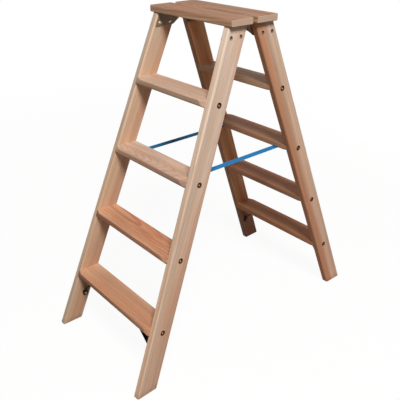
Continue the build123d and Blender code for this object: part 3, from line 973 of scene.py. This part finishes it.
def rodMesh(name, reach, radius, look):
    bottom = reach - look["thread"]
    threaded = threadProfile(radius, reach - look["tip"], bottom, look["pitch"], look["depth"])
    upper = [(0, reach), (radius - look["tipInset"], reach)] + threaded
    return lathe(name, mirrored(upper), look["segments"])


for half in halves:
    for number in range(1, treadCount + 1):
        node = f"{half}_tie_rod_{number}"
        low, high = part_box(node)
        mesh = rodMesh(f"{node}_bar", (high.x - low.x) / 2, (high.y - low.y) / 2, rodLook)
        bright = half == "front" or number == treadCount  # the front rods and the top rear rod get a bright end; the other ends stay brown
        for finish in ("brown_rod_zinc", "rod_zinc" if bright else "brown_rod_zinc"):
            mesh.materials.append(zinc[finish])
        for face in mesh.polygons:
            face.material_index = int(abs(face.normal.z) > rodLook["endTurn"])
        layAcross(mesh, low, high)
        standFor(linkObject(f"{node}_bar", mesh), node, f"{half}_frame")
print("tie rods:", 2 * treadCount)

screwLook = {
    "headDiameter": 0.010,
    "headHeight": 0.003,
    "rim": 0.0005,
    "slotWidth": 0.0013,
    "slotDepth": 0.0013,
    "slotReach": 1.2,
    "shank": 0.0045,
    "plain": 0.003,
    "point": 0.004,
    "pitch": 0.0018,
    "threadDepth": 0.0007,
    "seeds": {"brace_screws": 31, "strap_screws": 43},
}


def cutSlot(mesh, look):
    head = linkObject("slot_head", mesh)
    cutter = bpy.data.meshes.new("slot_cutter")
    shape = bmesh.new()
    bmesh.ops.create_cube(shape, size=1.0)
    size = Vector((look["headDiameter"] * look["slotReach"], look["slotWidth"], look["slotDepth"] * 2))
    bmesh.ops.scale(shape, vec=size, verts=shape.verts)
    bmesh.ops.translate(shape, vec=(0, 0, look["headHeight"]), verts=shape.verts)
    shape.to_mesh(cutter)
    shape.free()
    blade = linkObject("slot_blade", cutter)
    modifier = head.modifiers.new("slot", "BOOLEAN")
    modifier.object = blade
    modifier.operation = "DIFFERENCE"
    modifier.solver = "EXACT"
    cut = plainMesh(head)
    bpy.data.objects.remove(head)
    bpy.data.objects.remove(blade)
    sharpen(cut)
    return cut


def screwMesh(length, look):
    radius = look["shank"] / 2
    low = look["headHeight"] - length
    profile = domeProfile(look["headDiameter"] / 2, look["headHeight"], look["rim"]) + [(radius, 0)]
    profile += threadProfile(radius, -look["plain"], low + look["point"], look["pitch"], look["threadDepth"])
    profile += [(0, low)]
    return cutSlot(lathe("wood_screw", profile), look)


def mainAxis(points, guess):
    centre = middleOf(points)
    spread = numpy.array([list(point - centre) for point in points])
    axes = numpy.linalg.eigh(spread.T @ spread)[1].T
    best = Vector(max(axes, key=lambda axis: abs(Vector(axis).dot(guess))))
    return best if best.dot(guess) > 0 else -best


for index, half in enumerate(halves):
    for kind, seed in screwLook["seeds"].items():
        places = []
        for points in looseSolids(f"{half}_{kind}"):
            middle = middleOf(points)
            size = Vector(map(max, *points)) - Vector(map(min, *points))
            axis = mainAxis(points, -upAxis if size.z > size.x else -outwardAt(middle))
            along = [point.dot(axis) for point in points]
            head = max(along) - middle.dot(axis)
            places.append((middle + axis * (head - screwLook["headHeight"]), axis))
        length = max(along) - min(along)
        master = screwMesh(length, screwLook)
        screws = setFasteners(f"{half}_{kind}_set", master, places, zinc[f"{half}_screw_zinc"], seed + index)
        standFor(screws, f"{half}_{kind}", f"{half}_frame")
print("screws: 4 sets")

pinLook = {"segments": 40, "headHeight": 0.003, "rim": 0.0005, "shank": 0.006}
for side in sides:
    node = f"{side}_hinge_pin"
    low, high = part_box(node)
    seat = (high.x - low.x) / 2 - pinLook["headHeight"]
    head = domeProfile((high.y - low.y) / 2, pinLook["headHeight"], pinLook["rim"])
    upper = [(radius, height + seat) for radius, height in head] + [(pinLook["shank"] / 2, seat)]
    mesh = lathe(f"{node}_rivet", mirrored(upper), pinLook["segments"])
    layAcross(mesh, low, high)
    mesh.materials.append(zinc["hinge_pin_zinc"])
    standFor(linkObject(f"{node}_rivet", mesh), node, "front_frame")
print("hinge pins: 2")

# straps of woven webbing, each yarn a ridge in the mesh

webbingLook = {
    "yarns": 13,
    "pickLength": 0.0026,
    "steps": 4,
    "relief": 0.00045,
    "edge": 0.0014,
    "over": (0.55, 0.45),  # a yarn's height, and its bow, over a pick
    "under": (0.5, -0.4),
    "fine": {"stretch": (9000.0, 900.0, 1.0), "detail": 2.0, "roughness": 0.6},
    "cloud": {"scale": 90.0, "detail": 2.0},
    "yarnTone": 0.8,
    "fineTone": 0.5,
    "cloudTone": 0.3,
    "darkTone": 0.35,
    "roughness": 0.75,
    "roughSpread": 0.25,
    "roughLift": 0.12,
    "bumpStrength": 0.4,
    "bumpDepth": 0.0002,
    "shine": 0.15,
    "heldLength": 0.004,  # a length at each end of the strap
    # the left strap's darker colours are partly painted shade, for the shadow lying across it
    "left": {"bright": (30, 130, 178), "deep": (10, 86, 128)},
    "right": {"bright": (54, 152, 212), "deep": (28, 104, 160)},
}


def makeWebbing(name, look):
    material, tree, shader = startMaterial(name)
    place = addNode(tree, "ShaderNodeUVMap", uv_map="metres")[0]
    yarn = addNode(tree, "ShaderNodeAttribute", attribute_name="rise")["Fac"]
    fine = stretchedNoise(tree, place, **look["fine"])["Fac"]
    cloud = noiseNode(tree, place, **look["cloud"])["Fac"]
    # painted shade in the weave: raised yarns are paler, the hollows between them darker
    depth = mathNode(tree, "MULTIPLY", yarn, look["yarnTone"])
    depth = mathNode(tree, "MULTIPLY_ADD", fine, look["fineTone"], depth)
    depth = mathNode(tree, "SUBTRACT", depth, look["darkTone"])
    depth = mathNode(tree, "MULTIPLY_ADD", cloud, look["cloudTone"], depth, clamp=True)
    colour = mixColour(tree, depth, sRgb(*look["deep"]), sRgb(*look["bright"]))
    rough = mathNode(tree, "MULTIPLY_ADD", fine, -look["roughSpread"], look["roughness"] + look["roughLift"])
    relief = {"Strength": look["bumpStrength"], "Distance": look["bumpDepth"], "Height": fine}
    setSurface(tree, shader, colour, rough, relief)
    shader.inputs["Specular IOR Level"].default_value = look["shine"]
    return material


def weaveStrap(name, low, high, look):
    width = high.x - low.x
    length = high.y - low.y
    middle = (low + high) / 2
    half = (high.z - low.z) / 2
    columns = look["yarns"] * look["steps"]
    rows = round(length / look["pickLength"]) * look["steps"]
    points = []
    lifts = []
    spots = []

    def lift(column, row, face):
        yarn, inYarn = divmod(column / look["steps"], 1)
        pick, inPick = divmod(row / look["steps"], 1)
        over = (int(yarn) // 2 + int(pick) + (face < 0)) % 2 == 0
        level, bow = look["over"] if over else look["under"]
        ridge = math.sin(math.pi * inYarn) if column % columns else 0
        return ridge * (level + bow * math.sin(math.pi * inPick))

    for face in (1, -1):
        for row in range(rows + 1):
            for column in range(columns + 1):
                x = width * (column / columns - 0.5)
                y = length * (row / rows - 0.5)
                rise = lift(column, row, face)
                fromEdge = min(width / 2 - abs(x), look["edge"]) / look["edge"]
                body = half - look["relief"] + look["relief"] * rise
                z = face * body * math.sqrt(max(fromEdge * (2 - fromEdge), 0.0))
                points.append((middle.x + x, middle.y + y, middle.z + z))
                lifts.append(rise)
                spots.append((x, y))
    stride = columns + 1
    count = stride * (rows + 1)
    faces = []
    for row in range(rows):
        for column in range(columns):
            a = row * stride + column
            faces.append((a, a + 1, a + stride + 1, a + stride))
            faces.append((count + a, count + a + stride, count + a + stride + 1, count + a + 1))
    for column in range(columns):
        for row, flip in ((0, 1), (rows, -1)):
            a = row * stride + column
            faces.append((a, count + a, count + a + 1, a + 1)[::flip])
    mesh = bpy.data.meshes.new(name)
    mesh.from_pydata(points, [], faces)
    mesh.attributes.new("rise", "FLOAT", "POINT").data.foreach_set("value", lifts)
    layer = mesh.uv_layers.new(name="metres")
    for loop in mesh.loops:
        layer.data[loop.index].uv = spots[loop.vertex_index]
    shape = bmesh.new()
    shape.from_mesh(mesh)
    bmesh.ops.remove_doubles(shape, verts=shape.verts, dist=mergeDistance)
    bmesh.ops.recalc_face_normals(shape, faces=shape.faces)
    shape.to_mesh(mesh)
    shape.free()
    mesh.shade_smooth()
    return linkObject(name, mesh)


for side in sides:
    node = f"{side}_strap"
    look = dict(webbingLook, **webbingLook[side])
    low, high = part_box(node)
    strap = weaveStrap(f"{side}_strap_webbing", low, high, look)
    strap.data.materials.append(makeWebbing(f"{side}_webbing", look))
    middle = (low + high) / 2
    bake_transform(strap)
    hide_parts(node)
print("straps: 2 woven")

# floor, light and camera

stageLook = {
    "floorSize": 60.0,
    "floorDrop": 0.0004,
    "floorWhite": 0.96,
    "bounce": 0.22,
    "whiteShare": 0.94,
    "whiteFrom": (1.0, 4.0),
    "keyFrom": (0.66, -0.36, 1.0),
    "keyDistance": 5.0,
    "keySize": 1.5,
    "keyPower": 240.0,
    "fillFrom": (-0.2, 1.0, -0.1),
    "fillDistance": 3.4,
    "fillSize": 0.4,
    "fillPower": 45.0,
    "skyStrength": 0.2,
    "skyColour": (1.0, 0.86, 0.72),
    "aim": (0.0, 0.0, 0.55),
}
white = (1, 1, 1, 1)


# 1 for what the camera sees, straight, mirrored or through a surface
def seenShare(tree):
    path = addNode(tree, "ShaderNodeLightPath")
    seen = mathNode(tree, "MAXIMUM", path["Is Camera Ray"], path["Is Glossy Ray"])
    return mathNode(tree, "MAXIMUM", seen, path["Is Transmission Ray"])


def makeFloor(look):
    mesh = bpy.data.meshes.new("floor")
    half = look["floorSize"] / 2
    corners = [(-half, -half), (half, -half), (half, half), (-half, half)]
    mesh.from_pydata([(x, y, -look["floorDrop"]) for x, y in corners], [], [(0, 1, 2, 3)])
    material, tree = startMaterial("pale_floor")[:2]
    tree.nodes.clear()
    seen = seenShare(tree)
    dull = opaque((look["bounce"],) * 3)
    pale = opaque((look["floorWhite"],) * 3)
    matt = addNode(tree, "ShaderNodeBsdfDiffuse", {"Color": mixColour(tree, seen, dull, pale)})[0]
    glow = addNode(tree, "ShaderNodeEmission", {"Color": white, "Strength": 1.0})[0]
    away = vectorNode(tree, "LENGTH", addNode(tree, "ShaderNodeTexCoord")["Object"])
    fade = smoothStep(tree, away, *look["whiteFrom"], look["whiteShare"], 1.0)
    share = mathNode(tree, "MULTIPLY", seen, fade)
    surface = addNode(tree, "ShaderNodeMixShader", (share, matt, glow))[0]
    addNode(tree, "ShaderNodeOutputMaterial", {"Surface": surface})
    mesh.materials.append(material)
    linkObject("floor", mesh)


def makeLamps(look):
    for name in ("key", "fill"):
        away = Vector(look[f"{name}From"]).normalized()
        light = bpy.data.lights.new(name, "AREA")
        light.shape = "DISK"
        light.size = look[f"{name}Size"]
        light.energy = look[f"{name}Power"]
        lamp = linkObject(name, light)
        lamp.location = Vector(look["aim"]) + away * look[f"{name}Distance"]
        lamp.rotation_euler = away.to_track_quat("Z", "Y").to_euler()


def makeSky(look):
    world = bpy.data.worlds.new("studio")
    bpy.context.scene.world = world
    world.use_nodes = True
    tree = world.node_tree
    seen = seenShare(tree)
    background = tree.nodes["Background"]
    colour = mixColour(tree, seen, opaque(look["skyColour"]), white)
    strength = mapRange(tree, seen, 0.0, 1.0, look["skyStrength"], 1.0)
    tree.links.new(colour, background.inputs["Color"])
    tree.links.new(strength, background.inputs["Strength"])


cameraLook = {
    "place": (1.36908, -1.23554, 1.41914),
    "down": 0.480975,
    "turn": 0.855353,
    "roll": 0.002573,
    "focal": 549.92 / 400,  # in picture widths
    "sensor": 36.0,
}


def makeCamera(look):
    lens = bpy.data.cameras.new("camera")
    lens.sensor_width = look["sensor"]
    lens.lens = look["focal"] * look["sensor"]
    camera = linkObject("camera", lens)
    level = Euler((math.pi / 2 - look["down"], 0, look["turn"])).to_matrix()
    camera.rotation_euler = (level @ Matrix.Rotation(look["roll"], 3, "Z")).to_euler()
    camera.location = look["place"]
    bpy.context.scene.camera = camera


makeFloor(stageLook)
makeLamps(stageLook)
makeSky(stageLook)
makeCamera(cameraLook)
bpy.context.scene.view_settings.view_transform = "Standard"
print("stage: floor, light and camera")
